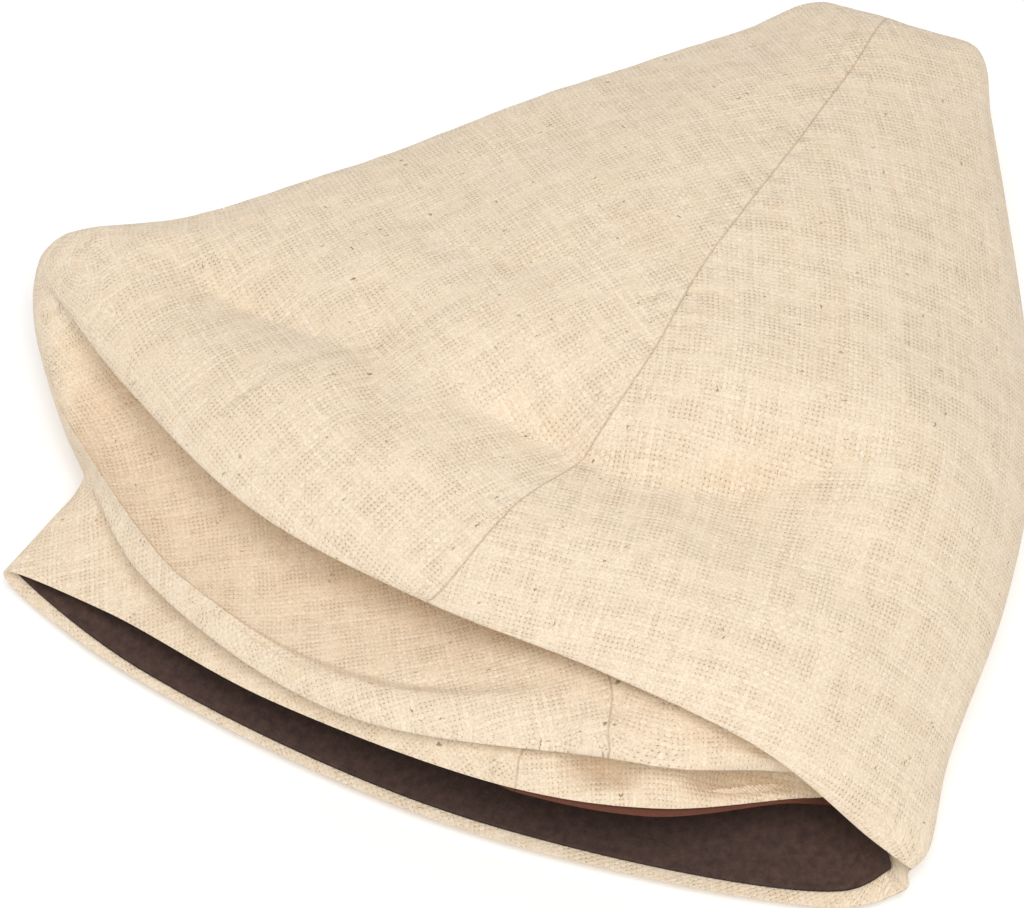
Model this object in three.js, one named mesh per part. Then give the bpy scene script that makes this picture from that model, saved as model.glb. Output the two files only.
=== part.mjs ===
import * as THREE from "three";

// A soft linen flat cap, lying collapsed on a flat surface with its back uppermost.
// Millimetres, +Z up. The mouth opens towards -Y and the crown narrows towards +Y.
// The crown is two halves that meet in one centre seam. The back wall hangs in two folds
// over the mouth, and the peak is turned back under the front wall.

const WALL = 1.5; // linen with its backing cloth
const SEAM_GAP = 0.3; // open line between the two halves
const CENTRE = { x: -0.7, y: 125.3 }; // middle of the footprint in the tables' frame
const PARTING = 0.5; // air between pieces that touch on the real cap

const LINEN = { color: 0xe3d2b6, roughness: 0.92, metalness: 0 };
const BAND_CLOTH = { color: 0x4a3831, roughness: 0.95, metalness: 0 };

// One row per fold line, from the mouth inwards. Every place is [x, y, z] on the outer face.
// The stations run over the top from left to right, then along the floor from right to left.
// roundLeft and roundRight are the radii of the side turns, and steps divides the way to the next row.
// upRight says where a row passes over the right corner of the mouth, instead of the round turn.
const ROWS = [
  {
    fold: "near_rim", left: [-116, 10, 10], outerLeft: [-84, 7, 16], innerLeft: [-29, -8, 29],
    seam: [41, -13, 39], innerRight: [77, -5, 40], outerRight: [109, 19, 27], right: [139, 14, 11],
    upRight: [120, 28, 18], floorRight: [125, 4, 5], floorMid: [26, -12, 5], floorLeft: [-72, -3, 5],
    roundLeft: 5, roundRight: 7, steps: 3,
  },
  {
    fold: "band_top", left: [-110, 30, 12], outerLeft: [-76, 18, 21], innerLeft: [-25, -3, 34],
    seam: [40, -5, 45], innerRight: [70, 5, 46], outerRight: [102, 22, 34], right: [138, 15, 12],
    upRight: [120, 30, 20], floorRight: [124, 12, 5], floorMid: [27, -2, 5], floorLeft: [-72, 6, 5],
    roundLeft: 6, roundRight: 7, steps: 2,
  },
  {
    fold: "hollow_2", left: [-107, 36, 15], outerLeft: [-75, 24, 26], innerLeft: [-19, 5, 39],
    seam: [48, 9, 48], innerRight: [75, 14, 48], outerRight: [101, 24, 39], right: [138, 16, 13],
    upRight: [119, 31, 21], floorRight: [123, 19, 5], floorMid: [28, 7, 5], floorLeft: [-73, 14, 5],
    roundLeft: 7, roundRight: 7, steps: 2,
  },
  {
    fold: "ridge_2", left: [-106, 41, 18], outerLeft: [-76, 13, 31], innerLeft: [-8, -12, 43],
    seam: [62, -3, 52], innerRight: [80, 1, 52], outerRight: [100, 14, 43], right: [138, 16, 14],
    upRight: [119, 30, 22], floorRight: [122, 27, 5], floorMid: [29, 16, 5], floorLeft: [-76, 24, 5],
    roundLeft: 9, roundRight: 8, steps: 2,
  },
  {
    fold: "over_2", left: [-108, 43, 20], outerLeft: [-72, 15, 35], innerLeft: [-6, -9, 47],
    seam: [60, 2, 55], innerRight: [79, 5, 55], outerRight: [100, 14, 46], right: [138, 16, 15],
    upRight: [119, 30, 24], floorRight: [121, 32, 5], floorMid: [29, 22, 5], floorLeft: [-79, 30, 5],
    roundLeft: 10, roundRight: 9, steps: 2,
  },
  {
    fold: "valley_1", left: [-116, 50, 24], outerLeft: [-60, 12, 40], innerLeft: [1, 0, 51],
    seam: [54, 17, 58], innerRight: [77, 19, 58], outerRight: [100, 18, 51], right: [138, 17, 16],
    upRight: [120, 29, 25], floorRight: [121, 40, 5], floorMid: [30, 30, 5], floorLeft: [-84, 40, 5],
    roundLeft: 11, roundRight: 9, steps: 3,
  },
  {
    fold: "hollow_1", left: [-135, 73, 26], outerLeft: [-85, 62, 47], innerLeft: [-30, 42, 57],
    seam: [20, 34, 61], innerRight: [62, 30, 61], outerRight: [100, 20, 54], right: [138, 17, 17],
    upRight: [121, 27, 27], floorRight: [120, 49, 5], floorMid: [30, 40, 5], floorLeft: [-98, 56, 5],
    roundLeft: 12, roundRight: 9, steps: 2,
  },
  {
    fold: "under_lip", left: [-140, 82, 28], outerLeft: [-93, 60, 50], innerLeft: [-41, 32, 61],
    seam: [10, 22, 64], innerRight: [56, 20, 64], outerRight: [99, 16, 57], right: [137, 16, 18],
    upRight: [125, 19, 29], floorRight: [119, 58, 4], floorMid: [30, 51, 5], floorLeft: [-106, 68, 4],
    roundLeft: 13, roundRight: 10, steps: 2,
  },
  {
    fold: "ridge_1", left: [-141, 86, 30], outerLeft: [-99, 54, 52], innerLeft: [-46, 24, 63],
    seam: [6, 14, 66], innerRight: [53, 12, 66], outerRight: [98, 10, 59], right: [136, 14, 19],
    upRight: [128, 12, 30], floorRight: [117, 66, 2], floorMid: [30, 62, 3], floorLeft: [-112, 79, 2],
    roundLeft: 14, roundRight: 10, steps: 2,
  },
  {
    fold: "lip", left: [-141, 88, 32], outerLeft: [-98, 58, 57], innerLeft: [-43, 28, 68],
    seam: [9, 18, 71], innerRight: [55, 17, 71], outerRight: [99, 14, 63], right: [139, 20, 20],
    upRight: [130, 14, 34], floorRight: [115, 76, 0], floorMid: [30, 72, 0], floorLeft: [-112, 88, 0],
    roundLeft: 16, roundRight: 12, steps: 4,
  },
  {
    fold: "shoulder", left: [-141, 91, 33], outerLeft: [-95, 72, 61], innerLeft: [-38, 52, 74],
    seam: [17, 44, 78], innerRight: [62, 43, 76], outerRight: [105, 41, 66], right: [138, 43, 25],
    floorRight: [114, 90, 0], floorMid: [30, 86, 0], floorLeft: [-108, 97, 0],
    roundLeft: 18, roundRight: 15, steps: 3,
  },
  {
    fold: "dent", left: [-138, 96, 34], outerLeft: [-88, 87, 60], innerLeft: [-32, 76, 73],
    seam: [26, 68, 77], innerRight: [69, 67, 73], outerRight: [110, 68, 65], right: [137, 89, 28],
    floorRight: [111, 112, 0], floorMid: [31, 106, 0], floorLeft: [-100, 108, 0],
    roundLeft: 20, roundRight: 18, steps: 3,
  },
  {
    fold: "hump", left: [-113, 114, 31], outerLeft: [-65, 108, 60], innerLeft: [-13, 98, 75],
    seam: [33, 96, 80], innerRight: [68, 95, 80], outerRight: [104, 100, 70], right: [130, 132, 28],
    floorRight: [102, 146, 0], floorMid: [33, 136, 0], floorLeft: [-78, 130, 0],
    roundLeft: 20, roundRight: 18, steps: 4,
  },
  {
    fold: "fall", left: [-79, 147, 31], outerLeft: [-40, 142, 57], innerLeft: [-5, 137, 70],
    seam: [35, 132, 76], innerRight: [61, 134, 74], outerRight: [89, 143, 64], right: [115, 172, 28],
    floorRight: [90, 182, 0], floorMid: [37, 172, 0], floorLeft: [-46, 162, 0],
    roundLeft: 18, roundRight: 16, steps: 4,
  },
  {
    fold: "narrow", left: [-32, 198, 32], outerLeft: [-11, 190, 52], innerLeft: [12, 184, 62],
    seam: [40, 176, 66], innerRight: [59, 180, 64], outerRight: [80, 188, 56], right: [98, 207, 30],
    floorRight: [78, 214, 0], floorMid: [41, 206, 0], floorLeft: [-8, 206, 0],
    roundLeft: 15, roundRight: 14, steps: 4,
  },
  {
    fold: "near_top", left: [6, 238, 31], outerLeft: [18, 234, 44], innerLeft: [30, 229, 50],
    seam: [44, 225, 52], innerRight: [55, 227, 51], outerRight: [69, 231, 46], right: [82, 238, 32],
    floorRight: [66, 238, 0], floorMid: [44, 236, 0], floorLeft: [17, 238, 0],
    roundLeft: 11, roundRight: 10, steps: 3,
  },
  {
    fold: "top_edge", left: [22, 257, 30], outerLeft: [29, 256, 37], innerLeft: [37, 254, 40],
    seam: [45, 253, 41], innerRight: [53, 254, 40], outerRight: [61, 256, 38], right: [72, 258, 31],
    floorRight: [62, 257, 8], floorMid: [46, 256, 8], floorLeft: [28, 257, 8],
    roundLeft: 7, roundRight: 7, steps: 3,
  },
];

// Where the two walls meet at the far end of the bag.
const FAR_END = { left: [28, 263, 22], right: [65, 263, 22] };

// Columns of the mesh between neighbouring stations of one half, from the seam down to the floor.
const HALF_STEPS = [4, 4, 4, 2, 2, 2, 2];

// The brown band inside the mouth, from the loop BAND_RIM near the rim to the loop BAND_END inside the hollow.
const BAND = { thick: 1.2, rows: 3 };
const BAND_RIM = {
  left: [-111, 14, 10], outerLeft: [-82, 10.5, 15], innerLeft: [-27, -4, 30],
  seam: [41, -8.5, 39.5], innerRight: [74, -1.5, 39.5], outerRight: [105, 21, 28], right: [134, 16, 11.5],
  upRight: [118.5, 29, 15], floorRight: [122, 9, 7.3], floorMid: [26, -8, 7.3], floorLeft: [-72, 1, 7.3],
  roundLeft: 2, roundRight: 3,
};
const BAND_END = {
  left: [-97, 28, 12.5], outerLeft: [-78, 17, 16], innerLeft: [-24, 3, 33],
  seam: [42, 0, 41], innerRight: [73, 5, 40.5], outerRight: [100, 27, 27], right: [120, 31, 12],
  upRight: [114, 36, 16], floorRight: [112, 36, 8], floorMid: [28, 30, 8], floorLeft: [-66, 32, 8],
  roundLeft: 3, roundRight: 4,
};

// The peak lies under the front wall; its root follows the front rim.
const PEAK = {
  thick: 4.4, bevel: 1.1, left: -62, right: 112, rootMid: -8, rootEnds: 3,
  frontMid: 46, steps: 28,
};

const WALL_REST = 0.6; // air between the peak and the wall on it
const REST_SLOPE = { from: 1.1, to: 1.5 }; // where the wall comes down to the surface, in peak sizes

const vec = (place) => new THREE.Vector3(place[0] - CENTRE.x, place[1] - CENTRE.y, place[2]);

// A centripetal Catmull-Rom point between b and c, so close rows never loop over themselves.
function between(a, b, c, d, t) {
  const knot = (p, q) => Math.max(Math.sqrt(p.distanceTo(q)), 1e-3);
  const t1 = knot(a, b);
  const t2 = t1 + knot(b, c);
  const t3 = t2 + knot(c, d);
  const u = t1 + (t2 - t1) * t;
  const mix = (p, q, from, to) => p.clone().lerp(q, (u - from) / (to - from));
  const ab = mix(a, b, 0, t1);
  const bc = mix(b, c, t1, t2);
  const cd = mix(c, d, t2, t3);
  return mix(mix(ab, bc, 0, t2), mix(bc, cd, t1, t3), t1, t2);
}

// Two guard places that round the side of a ring above and below its outermost place.
function sideTurn(side, above, below, radius) {
  const inward = above.clone().sub(side).setZ(0).normalize();
  const up = side.clone().addScaledVector(inward, 0.29 * radius);
  const down = side.clone().addScaledVector(below.clone().sub(side).setZ(0).normalize(), 0.5 * radius);
  up.z += 0.71 * radius;
  down.z = Math.max(side.z - 0.71 * radius, below.z);
  return { up, down };
}

// One closed ring of the cap: seam, left side, floor, right side, back to the seam.
function ringOf(row) {
  const left = sideTurn(vec(row.left), vec(row.outerLeft), vec(row.floorLeft), row.roundLeft);
  const right = sideTurn(vec(row.right), vec(row.outerRight), vec(row.floorRight), row.roundRight);
  const stations = [
    vec(row.seam), vec(row.innerLeft), vec(row.outerLeft), left.up, vec(row.left), left.down,
    vec(row.floorLeft), vec(row.floorMid), vec(row.floorRight), right.down, vec(row.right),
    row.upRight ? vec(row.upRight) : right.up, vec(row.outerRight), vec(row.innerRight),
  ];
  const steps = [...HALF_STEPS, ...[...HALF_STEPS].reverse()];
  const count = stations.length;
  const ring = [];
  steps.forEach((step, i) => {
    const [a, b, c, d] = [count - 1, 0, 1, 2].map((shift) => stations[(i + shift) % count]);
    for (let s = 0; s < step; s += 1) ring.push(between(a, b, c, d, s / step));
  });
  return ring;
}

const HALF = HALF_STEPS.reduce((sum, step) => sum + step, 0);
const AROUND = 2 * HALF;

// The last ring is a flat line: its upper and lower places are the same.
function endRing() {
  const left = vec(FAR_END.left);
  const right = vec(FAR_END.right);
  const seam = left.clone().lerp(right, 0.5);
  return Array.from({ length: AROUND }, (_, j) => {
    const side = j < HALF ? left : right;
    const local = j < HALF ? j : AROUND - j;
    return seam.clone().lerp(side, 1 - Math.abs(1 - (2 * local) / HALF));
  });
}

const mirrored = (j) => (j <= HALF ? HALF - j : HALF + (AROUND - j)) % AROUND;

const rings = [...ROWS.map(ringOf), endRing()];

// The front wall rests on the turned-back peak, and beyond it on the surface.
function restHeight(place) {
  const across = Math.abs(place.x + CENTRE.x - (PEAK.left + PEAK.right) / 2) / ((PEAK.right - PEAK.left) / 2);
  const along = Math.max(place.y + CENTRE.y, 0) / PEAK.frontMid;
  const reach = Math.cbrt(across ** 3 + along ** 3);
  return (PEAK.thick + WALL_REST) * (1 - THREE.MathUtils.smoothstep(reach, REST_SLOPE.from, REST_SLOPE.to));
}

// The outer face at a row number, with fractions between rows, and a column number.
function outerPlace(u, column) {
  const j = ((column % AROUND) + AROUND) % AROUND;
  const last = rings.length - 1;
  const i = Math.min(Math.floor(u), last - 1);
  const b = rings[i][j];
  const c = rings[i + 1][j];
  const a = i > 0 ? rings[i - 1][j] : b.clone().multiplyScalar(2).sub(c);
  const d = i + 2 <= last ? rings[i + 2][j] : rings[last - 1][mirrored(j)];
  const place = between(a, b, c, d, u - i);
  place.z = Math.max(place.z, restHeight(place));
  return place;
}

function outwardAt(u, j) {
  const last = rings.length - 1;
  const step = 0.08;
  const along = outerPlace(Math.min(u + step, last), j).sub(outerPlace(Math.max(u - step, 0), j));
  const across = outerPlace(u, j + 1).sub(outerPlace(u, j - 1));
  return along.cross(across).normalize();
}

// At the far end the face looks along +Y, and turns sideways at the two corners.
function endOutward(j, firstColumn) {
  const toCorner = 1 - Math.abs(1 - (2 * j) / HALF);
  const side = firstColumn === 0 ? -1 : 1;
  return new THREE.Vector3(side * toCorner ** 4, 1, 0).normalize();
}

const rowPlaces = ROWS.flatMap((row, i) => Array.from({ length: row.steps }, (_, s) => i + s / row.steps));
rowPlaces.push(rings.length - 1);

function solidOf(name, corners, faces, finish) {
  const geometry = new THREE.BufferGeometry();
  geometry.setAttribute("position", new THREE.Float32BufferAttribute(corners.flatMap((p) => [p.x, p.y, p.z]), 3));
  geometry.setIndex(faces);
  geometry.computeVertexNormals();
  const mesh = new THREE.Mesh(geometry, new THREE.MeshStandardMaterial(finish));
  mesh.name = name;
  return mesh;
}

// A quad of four corners, counter-clockwise seen from outside.
const quad = (a, b, c, d) => [a, b, c, a, c, d];

// One half of the crown: an outer and an inner face, closed along the rim and the seam.
function crownHalf(name, firstColumn) {
  const lastRow = rowPlaces.length - 1;
  const corners = [];
  const outer = [];
  const inner = [];
  const shared = (i, j) => (i === lastRow ? Math.min(j, HALF - j) : j);
  rowPlaces.forEach((u, i) => {
    outer.push([]);
    inner.push([]);
    for (let j = 0; j <= HALF; j += 1) {
      if (shared(i, j) !== j) {
        outer[i].push(outer[i][shared(i, j)]);
        inner[i].push(inner[i][shared(i, j)]);
        continue;
      }
      const column = firstColumn + j;
      const place = outerPlace(u, column);
      const out = outwardAt(u, column);
      if (i === lastRow) out.copy(endOutward(j, firstColumn));
      const edge = j === 0 ? 1 : j === HALF ? -1 : 0;
      if (edge !== 0) {
        const inward = outerPlace(u, column + edge).sub(place).normalize();
        place.addScaledVector(inward, SEAM_GAP / 2);
      }
      outer[i].push(corners.push(place) - 1);
      inner[i].push(corners.push(place.clone().addScaledVector(out, -WALL)) - 1);
    }
  });
  const faces = [];
  for (let i = 0; i < lastRow; i += 1) {
    for (let j = 0; j < HALF; j += 1) {
      faces.push(...quad(outer[i][j], outer[i + 1][j], outer[i + 1][j + 1], outer[i][j + 1]));
      faces.push(...quad(inner[i][j], inner[i][j + 1], inner[i + 1][j + 1], inner[i + 1][j]));
    }
    faces.push(...quad(outer[i][0], inner[i][0], inner[i + 1][0], outer[i + 1][0]));
    faces.push(...quad(outer[i][HALF], outer[i + 1][HALF], inner[i + 1][HALF], inner[i][HALF]));
  }
  for (let j = 0; j < HALF; j += 1) {
    faces.push(...quad(outer[0][j], outer[0][j + 1], inner[0][j + 1], inner[0][j]));
  }
  return solidOf(name, corners, faces, LINEN);
}

// The band's face towards the wall runs straight from its first loop to its last.
function bandFace() {
  const first = ringOf(BAND_RIM);
  const last = ringOf(BAND_END);
  return Array.from({ length: BAND.rows + 1 }, (_, i) => first.map((p, j) => p.clone().lerp(last[j], i / BAND.rows)));
}

function sweatband() {
  const places = bandFace();
  const corners = [];
  const outer = [];
  const inner = [];
  places.forEach((ring, i) => {
    outer.push([]);
    inner.push([]);
    ring.forEach((place, j) => {
      const along = places[BAND.rows][j].clone().sub(places[0][j]);
      const across = ring[(j + 1) % AROUND].clone().sub(ring[(j + AROUND - 1) % AROUND]);
      const out = along.cross(across).normalize();
      outer[i].push(corners.push(place) - 1);
      inner[i].push(corners.push(place.clone().addScaledVector(out, -BAND.thick)) - 1);
    });
  });
  const faces = [];
  const end = BAND.rows;
  for (let j = 0; j < AROUND; j += 1) {
    const k = (j + 1) % AROUND;
    for (let i = 0; i < end; i += 1) {
      faces.push(...quad(outer[i][j], outer[i + 1][j], outer[i + 1][k], outer[i][k]));
      faces.push(...quad(inner[i][j], inner[i][k], inner[i + 1][k], inner[i + 1][j]));
    }
    faces.push(...quad(outer[0][j], outer[0][k], inner[0][k], inner[0][j]));
    faces.push(...quad(outer[end][j], inner[end][j], inner[end][k], outer[end][k]));
  }
  return solidOf("sweatband", corners, faces, BAND_CLOTH);
}

// A crescent board covered in linen, flat underneath, with a small bevel round its edge.
function peak() {
  const middle = (PEAK.left + PEAK.right) / 2;
  const half = (PEAK.right - PEAK.left) / 2 - PEAK.bevel;
  const outline = [];
  for (let i = 0; i <= PEAK.steps; i += 1) {
    const s = (2 * i) / PEAK.steps - 1;
    outline.push([middle + half * s, PEAK.rootMid + (PEAK.rootEnds - PEAK.rootMid) * s * s + PEAK.bevel]);
  }
  for (let i = 1; i < PEAK.steps; i += 1) {
    const angle = (Math.PI * i) / PEAK.steps;
    const reach = PEAK.frontMid - PEAK.rootEnds - PEAK.bevel;
    const y = PEAK.rootEnds + reach * Math.sin(angle) ** 0.75 + PEAK.bevel;
    outline.push([middle + half * Math.cos(angle), y]);
  }
  const shape = new THREE.Shape(outline.map(([x, y]) => new THREE.Vector2(x - CENTRE.x, y - CENTRE.y)));
  const geometry = new THREE.ExtrudeGeometry(shape, {
    depth: PEAK.thick - 2 * PEAK.bevel,
    bevelEnabled: true,
    bevelThickness: PEAK.bevel,
    bevelSize: PEAK.bevel,
    bevelSegments: 2,
    curveSegments: 1,
  });
  geometry.translate(0, 0, PEAK.bevel);
  const mesh = new THREE.Mesh(geometry, new THREE.MeshStandardMaterial(LINEN));
  mesh.name = "peak";
  return mesh;
}

const cap = new THREE.Group();
cap.name = "flat_cap";
cap.add(crownHalf("crown_left", 0), crownHalf("crown_right", HALF), sweatband(), peak());

export default cap;
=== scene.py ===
import math

import bpy
import numpy as np
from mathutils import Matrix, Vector


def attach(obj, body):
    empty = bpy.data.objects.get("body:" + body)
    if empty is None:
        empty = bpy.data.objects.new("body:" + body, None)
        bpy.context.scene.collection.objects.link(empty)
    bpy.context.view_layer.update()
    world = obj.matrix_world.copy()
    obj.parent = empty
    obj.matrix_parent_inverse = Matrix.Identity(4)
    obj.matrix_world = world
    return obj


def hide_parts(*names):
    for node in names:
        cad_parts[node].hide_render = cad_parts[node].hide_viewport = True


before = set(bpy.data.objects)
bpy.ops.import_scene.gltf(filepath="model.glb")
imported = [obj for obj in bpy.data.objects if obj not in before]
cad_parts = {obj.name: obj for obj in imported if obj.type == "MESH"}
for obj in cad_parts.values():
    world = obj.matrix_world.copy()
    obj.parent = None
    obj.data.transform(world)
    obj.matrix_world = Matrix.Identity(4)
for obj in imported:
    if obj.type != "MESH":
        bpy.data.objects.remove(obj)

# A soft linen flat cap lying collapsed with its back uppermost. The tables are in millimetres,
# +Z up, the mouth towards -Y. Everything in the scene itself is in metres.
MM = 0.001
CENTRE = np.array([-0.7, 125.3, 0.0])  # middle of the footprint in the tables' frame

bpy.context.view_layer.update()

# One row per fold line of the outer face, from the mouth inwards. The last two columns are the
# radii of the left and right side turns.
STATIONS = (
    "left", "outer_left", "inner_left", "seam", "inner_right", "outer_right", "right",
    "floor_right", "floor_mid", "floor_left", "round",
)
FOLDS = {
    "near_rim": ((-116, 10, 10), (-84, 7, 16), (-29, -8, 29), (41, -13, 39), (77, -5, 40), (109, 19, 27),
                 (139, 14, 11), (125, 4, 5), (26, -12, 5), (-72, -3, 5), (5, 7)),
    "band_top": ((-110, 30, 12), (-76, 18, 21), (-25, -3, 34), (40, -5, 45), (70, 5, 46), (102, 22, 34),
                 (138, 15, 12), (124, 12, 5), (27, -2, 5), (-72, 6, 5), (6, 7)),
    "hollow_2": ((-107, 36, 15), (-75, 24, 26), (-19, 5, 39), (48, 9, 48), (75, 14, 48), (101, 24, 39),
                 (138, 16, 13), (123, 19, 5), (28, 7, 5), (-73, 14, 5), (7, 7)),
    "ridge_2": ((-106, 41, 18), (-76, 13, 31), (-8, -12, 43), (62, -3, 52), (80, 1, 52), (100, 14, 43),
                (138, 16, 14), (122, 27, 5), (29, 16, 5), (-76, 24, 5), (9, 8)),
    "over_2": ((-108, 43, 20), (-72, 15, 35), (-6, -9, 47), (60, 2, 55), (79, 5, 55), (100, 14, 46),
               (138, 16, 15), (121, 32, 5), (29, 22, 5), (-79, 30, 5), (10, 9)),
    "valley_1": ((-116, 50, 24), (-60, 12, 40), (1, 0, 51), (54, 17, 58), (77, 19, 58), (100, 18, 51),
                 (138.5, 17, 16), (121, 40, 5), (30, 30, 5), (-84, 40, 5), (11, 9)),
    "hollow_1": ((-135, 73, 26), (-85, 62, 47), (-30, 42, 57), (20, 34, 61), (62, 30, 61), (100, 20, 54),
                 (139, 17, 17), (120, 49, 5), (30, 40, 5), (-98, 56, 5), (12, 9)),
    "under_lip": ((-140, 82, 28), (-93, 60, 50), (-41, 32, 61), (10, 22, 64), (56, 20, 64), (99, 16, 57),
                  (138.8, 16, 17.8), (119, 58, 4), (30, 51, 5), (-106, 68, 4), (13, 10)),
    "ridge_1": ((-141, 86, 30), (-99, 54, 52), (-46, 24, 63), (6, 14, 66), (53, 12, 66), (98, 10, 59),
                (138.6, 14, 18.6), (117, 66, 2), (30, 62, 3), (-112, 79, 2), (14, 10)),
    "lip": ((-141, 88, 32), (-98, 58, 57), (-43, 28, 68), (9, 18, 71), (55, 17, 71), (99, 14, 63),
            (141, 19, 19.5), (115, 76, 0), (30, 72, 0), (-112, 88, 0), (16, 12)),
    "shoulder": ((-141, 91, 33), (-95, 72, 61), (-38, 52, 74), (17, 44, 78), (62, 43, 76), (105, 41, 66),
                 (138, 43, 25), (114, 90, 0), (30, 86, 0), (-108, 97, 0), (18, 15)),
    "dent": ((-138, 96, 34), (-88, 87, 60), (-32, 76, 73), (26, 68, 77), (69, 67, 73), (110, 68, 65),
             (137, 89, 28), (111, 112, 0), (31, 106, 0), (-100, 108, 0), (20, 18)),
    "hump": ((-113, 114, 31), (-65, 108, 60), (-13, 98, 75), (33, 96, 80), (68, 95, 80), (104, 100, 70),
             (130, 132, 28), (102, 146, 0), (33, 136, 0), (-78, 130, 0), (20, 18)),
    "fall": ((-79, 147, 31), (-40, 142, 57), (-5, 137, 70), (35, 132, 76), (61, 134, 74), (89, 143, 64),
             (115, 172, 28), (90, 182, 0), (37, 172, 0), (-46, 162, 0), (18, 16)),
    "narrow": ((-32, 198, 32), (-11, 190, 52), (12, 184, 62), (40, 176, 66), (59, 180, 64), (80, 188, 56),
               (98, 207, 30), (78, 214, 0), (41, 206, 0), (-8, 206, 0), (15, 14)),
    "near_top": ((6, 238, 31), (18, 234, 44), (30, 229, 50), (44, 225, 52), (55, 227, 51), (69, 231, 46),
                 (82, 238, 32), (66, 238, 0), (44, 236, 0), (17, 238, 0), (11, 10)),
    "top_edge": ((22, 257, 30), (29, 256, 37), (37, 254, 40), (45, 253, 41), (53, 254, 40), (61, 256, 38),
                 (72, 258, 31), (62, 257, 8), (46, 256, 8), (28, 257, 8), (7, 7)),
}
UP_RIGHT = {  # where a fold line passes over the right corner of the mouth, instead of a round turn
    "near_rim": (120, 28, 18),
    "band_top": (120, 30, 20),
    "hollow_2": (119, 31, 21),
    "ridge_2": (119, 30, 22),
    "over_2": (119, 30, 24),
    "valley_1": (120, 29, 25),
    "hollow_1": (121, 27, 27),
    "under_lip": (125, 19, 29),
    "ridge_1": (128, 12, 30),
    "lip": (130, 14, 34),
}
FAR_END = {"left": (28, 263, 22), "right": (65, 263, 22)}  # where the two walls meet at the far end

# Mesh steps from each fold line to the next, and from each station to the next, seam to floor.
FOLD_STEPS = (14, 12, 10, 8, 12, 36, 16, 8, 6, 28, 22, 26, 34, 42, 34, 22, 10)
HALF_STEPS = (54, 48, 42, 14, 10, 10, 26)

SIDE_TURN = {"up_out": 0.29, "down_out": 0.5, "rise": 0.71}  # guard places of a round side, in its radii

HEM = {"share": 0.6, "steps": 6, "roll": 8, "bulge": 0.9, "clear": 0.3}  # the turned-in rim of the crown
# The band lies a little inside its face, and sags behind the near rim, fully from this share of its depth.
BAND = {"inset": 0.3, "rows": 40, "sag": 8.0, "sag_from": 0.35}
BAND_RIM = ((-113, 12, 10), (-83, 9.5, 15), (-27, -4, 30), (41, -8.5, 39.5), (74, -1.5, 39.5), (105, 21, 28),
            (133.5, 16.5, 11.5), (124, 7.5, 6.8), (26, -9.8, 6.8), (-72, -1.2, 6.8), (2, 3))
BAND_END = ((-97, 28, 12.5), (-78, 17, 16), (-24, 3, 33), (42, 0, 41), (73, 5, 40.5), (100, 27, 27),
            (120, 31, 12), (112, 36, 8), (28, 30, 8), (-66, 32, 8), (3, 4))
BAND_UP_RIGHT = {"rim": (118.5, 29, 15), "end": (114, 36, 16)}
BAND_LIP = {"out": 6.4, "drop": 1.4, "steps": 6}  # the band's edge, which shows under the near rim
# Columns round the mouth, and how much of the band's sag and lip they have: most right of the seam.
NEAR_TOP_SHARES = ((0, 0.75), (34, 0), (262, 0), (284, 0.7), (306, 0.85), (354, 0.85), (408, 0.75))

# Soft valleys in the cloth: the rows that they belong to, how far the slopes reach towards the mouth
# (near) and away from it (far), the depth, and the line from left to right. Those marked inwards press
# the cloth in along its normal, and the others press it down. A depth below zero raises it.
CREASES = (
    {"rows": (8.2, 15.5), "near": 26, "far": 14, "depth": 13.0,
     "line": ((-20, 72), (-4, 73), (17, 71), (35, 67), (52, 68))},
    {"rows": (8.2, 15.5), "near": 18, "far": 11, "depth": 12.0,
     "line": ((28, 66), (48, 67), (64, 75), (81, 86), (98, 101), (107, 113))},
    {"rows": (8.2, 15.5), "near": 17, "far": 13, "depth": 9.6,
     "line": ((-112, 95), (-88, 89), (-66, 84), (-44, 79), (-37, 70))},
    {"rows": (8.2, 15.5), "near": 7, "far": 18, "depth": 7.5,
     "line": ((-52, 112), (-42, 92), (-34, 74), (-29, 55), (-27, 42))},
    {"rows": (8.2, 15.5), "near": 13, "far": 15, "depth": 3.6,
     "line": ((-58, 134), (-37, 122), (-16, 116), (12, 124))},
    {"rows": (8.2, 15.5), "near": 10, "far": 9, "depth": 1.8,
     "line": ((104, 48), (111, 72), (122, 97))},
    {"rows": (4.1, 5.8), "near": 2.0, "far": 4.5, "depth": 2.2,
     "line": ((-56, 6), (-35, 1), (-18, -2), (2, -2), (21, 2), (38, 9), (56, 19))},
    {"rows": (0.1, 2.7), "rise": 0.5, "near": 3.4, "far": 6.0, "depth": 9.8, "inwards": True,
     "line": ((48, -5), (60, -2.5), (72, -0.5))},
    {"rows": (0.1, 2.7), "rise": 0.5, "near": 3.0, "far": 6.0, "depth": 9.8, "inwards": True,
     "line": ((79, 2), (93, 9.5), (108, 20.5))},
    {"rows": (2.5, 4.6), "near": 5.0, "far": 9.0, "depth": -2.6,
     "line": ((48, -6), (60, -3), (72, -1))},
    {"rows": (2.5, 4.6), "near": 5.0, "far": 9.0, "depth": -2.2,
     "line": ((80, 2), (93, 9), (106, 18))},
)
# A valley's bottom is rounded over this length. It sets in and fades out over these parts of a row, and
# towards the ends of its line by this power.
CREASE_SHAPE = {"round": 1.2, "rise": 0.3, "fade": 0.5, "taper": 1.5}
# The deep fold under the first ridge, with its slopes over the rows and at its left and right end.
HOLLOW = {"depth": 14.0, "rows": (4.6, 5.7, 6.1, 7.1), "left": (-136, -98), "right": (0, 70)}
LUMPS = ((27.0, 0.8, 3), (11.0, 0.2, 8), (4.5, 0.22, 21))  # soft lumps in the cloth: size, height, seed
LUMP_CELLS = 80  # rows and columns of random heights, which repeat beyond them
LUMP_ROWS = (0.3, 1.5)  # the lumps set in behind the rim
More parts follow.
